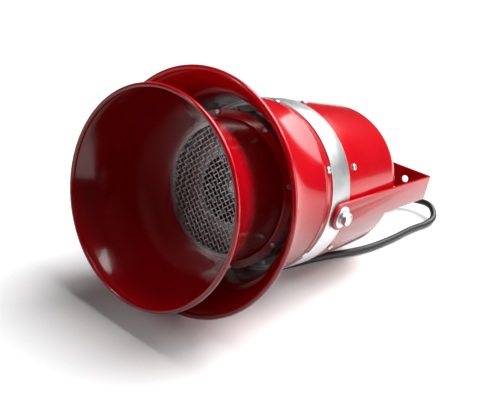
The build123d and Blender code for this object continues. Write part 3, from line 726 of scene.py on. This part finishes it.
def make_rear_cover():
    corner = (COVER_END_R - COVER_EDGE_R, COVER_END_Y - COVER_EDGE_R)
    outline = [(NECK_R - SHEET, BAND_Y1), (NECK_R - 0.4, BAND_Y1), (NECK_R, BAND_Y1 + 0.4)]
    outline += [(NECK_R, COVER_TAPER_Y)]
    outline += arc(corner, COVER_EDGE_R, 0, 90, 18) + [(0, COVER_END_Y), (0, COVER_END_Y - SHEET)]
    outline += arc(corner, COVER_EDGE_R - SHEET, 90, 0, 14) + [(NECK_R - SHEET, COVER_TAPER_Y)]
    cover = lathe("rear_cover_shell", outline, 144)
    smooth(cover)
    seat(cover, "siren_body", "red_paint", ["rear_cover"])


def make_centre_band():
    inner_spigot = SPIGOT_R - BAND_WALL
    inner_band = BAND_R - BAND_WALL
    outline = [(inner_spigot, SPIGOT_Y0), (SPIGOT_R, SPIGOT_Y0), (SPIGOT_R, BAND_Y0)]
    outline += [(BAND_R, BAND_Y0), (BAND_R, BAND_Y1), (SPIGOT_R, BAND_Y1), (SPIGOT_R, SPIGOT_Y1)]
    outline += [(inner_spigot, SPIGOT_Y1), (inner_spigot, BAND_Y1 - BAND_WALL)]
    outline += [(inner_band, BAND_Y1 - BAND_WALL), (inner_band, BAND_Y0 + BAND_WALL)]
    outline += [(inner_spigot, BAND_Y0 + BAND_WALL)]
    band = lathe("centre_band", outline, 144)
    round_edges(band, 0.45, 3, 40)
    smooth(band)
    seat(band, "siren_body", "zinc_plate", ["centre_ring"])


# --- guard ----------------------------------------------------------------------------------------
def make_woven_guard():
    """Crimped wires, each passing over and under the ones that cross it."""
    curve = bpy.data.curves.new("woven_guard", "CURVE")
    curve.dimensions = "3D"
    curve.bevel_depth = WIRE_R
    curve.bevel_resolution = 1
    curve.resolution_u = 4
    half_count = int(GUARD_REACH / WIRE_PITCH)
    for layer, turn in ((1, 45), (-1, -45)):
        way = Matrix.Rotation(radians(turn), 4, "Y")
        for i in range(-half_count, half_count):
            across = (i + 0.5) * WIRE_PITCH
            reach = (GUARD_REACH**2 - across**2) ** 0.5
            crossings = int(reach / WIRE_PITCH)
            places = [(k + 0.5) * WIRE_PITCH for k in range(-crossings, crossings)]
            heights = [layer * 2 * WIRE_R * (-1) ** (i + k) for k in range(-crossings, crossings)]
            path = [(-reach, 0.0)] + list(zip(places, heights)) + [(reach, 0.0)]
            spline = curve.splines.new("NURBS")
            spline.points.add(len(path) - 1)
            for point, (x, height) in zip(spline.points, path):
                point.co = (*(way @ Vector((x, GUARD_Y + height, across))), 1)
            spline.order_u = 3
            spline.use_endpoint_u = True
    wires = bpy.data.objects.new("woven_guard_wires", curve)
    bpy.context.scene.collection.objects.link(wires)
    work_on(wires)
    bpy.ops.object.convert(target="MESH")
    guard = bpy.context.object
    guard.name = "woven_guard"
    smooth(guard, 80)
    seat(guard, "siren_body", "mesh_wire", ["guard_mesh"])


# --- fasteners --------------------------------------------------------------------------------------
def pan_head_screw():
    """Domed head with a cross recess, its underside at y = 0."""
    outline = [(0, 4), (2.0, 4), (2.0, 0), (3.5, 0), (3.7, -0.25), (3.7, -0.9)]
    outline += [(3.45, -1.5), (2.9, -1.95), (2.1, -2.25), (1.1, -2.38), (0, -2.4)]
    screw = lathe("screw", outline, 32)
    for turn in (0, 90):
        slot = block("slot", (-0.42, -3, -2.0), (0.42, -1.3, 2.0))
        slot.data.transform(Matrix.Rotation(radians(turn), 4, "Y"))
        cut(screw, slot)
    smooth(screw, 40)
    return screw


def make_ring_screws():
    screw = pan_head_screw()
    for row, along in (("horn", HORN_SCREW_Y), ("cover", COVER_SCREW_Y)):
        for i in range(SCREWS):
            placing = outwards(NECK_R, along, SCREW_FIRST + 360 * i / SCREWS)
            twist = Matrix.Rotation(radians(17 + 53 * i), 4, "Y")
            piece = copy_of(screw, f"{row}_screw_{i + 1}", placing @ twist)
            seat(piece, "siren_body", "zinc_plate", [f"{row}_screws"])
    bpy.data.objects.remove(screw)


def make_pivots():
    """Bolt head, spring washer and flat washer on each side."""
    washer_out = ARM_OUT + WASHER_WALL
    head_out = washer_out + SPRING_WALL + BOLT_HEAD
    bolt = hexagon("bolt", BOLT_FLATS, 0, BOLT_HEAD)
    dome = lathe("dome", [(0, -0.02), (5.9, -0.02), (7.6, 1.0), (7.9, 6), (0, 6)], 48)
    work_on(bolt)
    keep = bolt.modifiers.new("chamfer", "BOOLEAN")
    keep.operation = "INTERSECT"
    keep.object = dome
    keep.solver = "EXACT"
    apply_modifiers(bolt)
    bpy.data.objects.remove(dome)
    round_edges(bolt, 0.25, 2, 25)
    smooth(bolt)
    hole = 4.3
    washer = lathe("washer", [(hole, 0), (WASHER_R, 0), (WASHER_R, WASHER_WALL), (hole, WASHER_WALL)], 64)
    round_edges(washer, 0.3, 3, 40)
    smooth(washer)
    for side, angle in (("right", 0), ("left", 180)):
        piece = copy_of(bolt, f"pivot_bolt_{side}", outwards(head_out, PIVOT_ALONG, angle))
        seat(piece, "siren_body", "zinc_plate", ["pivot_bolts"])
        piece = copy_of(washer, f"flat_washer_{side}", outwards(washer_out, PIVOT_ALONG, angle))
        seat(piece, "bracket_frame", "zinc_plate", ["flat_washers"])
    bpy.data.objects.remove(bolt)
    bpy.data.objects.remove(washer)
    springs = finished_copy("spring_washers", "spring_washer_pair", 0.0002)
    seat(springs, "siren_body", "zinc_plate", ["spring_washers"], laid=False)


def make_gland():
    centre = (GLAND_X, GLAND_Z)
    y = COVER_END_Y
    flange = hexagon("gland_flange", GLAND_FLANGE, y, y + 6, centre)
    neck = lathe("gland_neck", [(4.6, y - 1), (9, y - 1), (9, y + 8), (4.6, y + 8)], 48, centre)
    round_edges(flange, 0.7, 3, 25)
    body = join("gland_body_moulding", [flange, neck])
    smooth(body)
    seat(body, "siren_body", "gland_plastic", ["gland_body"])
    y += 8
    grip = hexagon("gland_grip", GLAND_NUT, y, y + 9, centre)
    round_edges(grip, 0.8, 3, 25)
    outline = [(4.6, y + 8), (9.9, y + 8), (10, y + 9)] + arc((4.0, y + 9), 6.0, 0, 80, 9) + [(4.6, y + 15)]
    dome = lathe("gland_dome", outline, 48, centre)
    cap = join("gland_nut_moulding", [grip, dome])
    smooth(cap)
    seat(cap, "siren_body", "gland_plastic", ["gland_nut"])


# --- CAD parts ---------------------------------------------------------------------------------------
def make_bracket():
    bracket = finished_copy("bracket", "mounting_bracket", 0.0006, 40)
    seat(bracket, "bracket_frame", "red_paint", ["bracket"], laid=False)


def make_rotor():
    rotor = finished_copy("siren_rotor", "siren_rotor_casting", 0.0003)
    seat(rotor, "rotor", "cast_aluminium", ["siren_rotor"], laid=False)
    ports = finished_copy("port_ring", "port_ring_casting", 0.0003)
    seat(ports, "siren_body", "cast_aluminium", ["port_ring"], laid=False)


NODES_BY_SLOT = {
    "zinc_plate": [
        "guard_ring", "flange_screws", "bulkhead_screws", "cover_nuts", "pivot_nuts", "through_bolts",
        "rotor_nut", "rotor_washer", "capacitor_clip", "terminal_shelf",
    ],
    "cast_aluminium": ["bulkhead", "front_bell", "rear_bell", "cage_rotor"],
    "bearing_steel": ["front_bearing", "rear_bearing", "motor_shaft"],
    "lamination": ["stator_core"],
    "copper_winding": ["stator_windings"],
    "black_plastic": ["cooling_fan"],
    "capacitor_case": ["run_capacitor"],
    "terminal_plastic": ["terminal_block"],
    "brass": ["terminal_screws"],
    "core_insulation": ["supply_cores", "winding_leads"],
    "fibre": ["friction_washers"],
    "gland_plastic": ["gland_locknut"],
    "cord_rubber": ["cord_in_gland"],
}


def paint_cad_parts():
    for slot, names in NODES_BY_SLOT.items():
        for name in names:
            mesh = frame["nodes"][name].data
            mesh.materials.clear()
            mesh.materials.append(finishes[slot])


# --- floor and lights ---------------------------------------------------------------------------------
def add_floor():
    """Pale floor that throws little of its light back up into the horns."""
    deselect()
    bpy.ops.mesh.primitive_plane_add(size=30)
    floor = bpy.context.object
    floor.name = "floor"
    floor.data.transform(Matrix.Translation((0, 0, -0.0002)))
    tones = ((0.90, 0.90, 0.90), (0.93, 0.93, 0.93))
    paint = finish("pale_floor", tones, (0.5, 0.6), (50, 0.0001, 0.02), 1.0)
    tree = paint.node_tree
    grey = node(tree, "ShaderNodeBsdfDiffuse", Color=(0.07, 0.07, 0.07, 1))
    path = node(tree, "ShaderNodeLightPath")
    blend = node(tree, "ShaderNodeMixShader")
    tree.links.new(path.outputs["Is Diffuse Ray"], blend.inputs["Fac"])
    tree.links.new(tree.nodes["Principled BSDF"].outputs["BSDF"], blend.inputs[1])
    tree.links.new(grey.outputs["BSDF"], blend.inputs[2])
    tree.links.new(blend.outputs["Shader"], tree.nodes["Material Output"].inputs["Surface"])
    floor.data.materials.append(paint)


def add_softbox(name, place, aim, size, power, tint=(1.0, 1.0, 1.0)):
    data = bpy.data.lights.new(name, "AREA")
    data.shape = "RECTANGLE"
    data.size, data.size_y = size
    data.energy = power
    data.color = tint
    lamp = bpy.data.objects.new(name, data)
    bpy.context.scene.collection.objects.link(lamp)
    turn = (Vector(aim) - Vector(place)).to_track_quat("-Z", "Y").to_matrix().to_4x4()
    lamp.matrix_world = Matrix.Translation(place) @ turn


def add_lights():
    world = bpy.data.worlds.new("studio")
    world.use_nodes = True
    room = world.node_tree.nodes["Background"]
    room.inputs["Color"].default_value = (0.80, 0.82, 0.86, 1)
    room.inputs["Strength"].default_value = 0.05
    bpy.context.scene.world = world
    data = bpy.data.lights.new("ceiling_light", "SUN")
    data.energy = 4.4
    data.angle = radians(48)
    ceiling = bpy.data.objects.new("ceiling_light", data)
    bpy.context.scene.collection.objects.link(ceiling)
    ceiling.matrix_world = Vector((0.16, 0.42, 1.0)).to_track_quat("Z", "Y").to_matrix().to_4x4()
    add_softbox("right_softbox", (1.35, 0.25, 0.55), (0, 0.05, 0.1), (0.9, 0.9), 9)
    add_softbox("back_softbox", (0.25, 1.35, 1.05), (0, 0.05, 0.1), (1.5, 0.55), 10)
    add_softbox("front_strip", (-0.75, -1.3, 0.75), (0, -0.1, 0.12), (0.10, 0.7), 2.5)
    bpy.context.scene.view_settings.view_transform = "Standard"


# --- making -------------------------------------------------------------------------------------------
add_camera()
finishes = make_finishes()
cord, cord_end = make_cord()
sleeve = make_strain_relief()
strap = make_tie()
leads = make_lead_ends(cord_end)
make_inner_horn()
make_outer_horn()
make_rear_cover()
make_centre_band()
make_woven_guard()
make_ring_screws()
make_pivots()
make_gland()
make_bracket()
make_rotor()
paint_cad_parts()
add_floor()
add_lights()
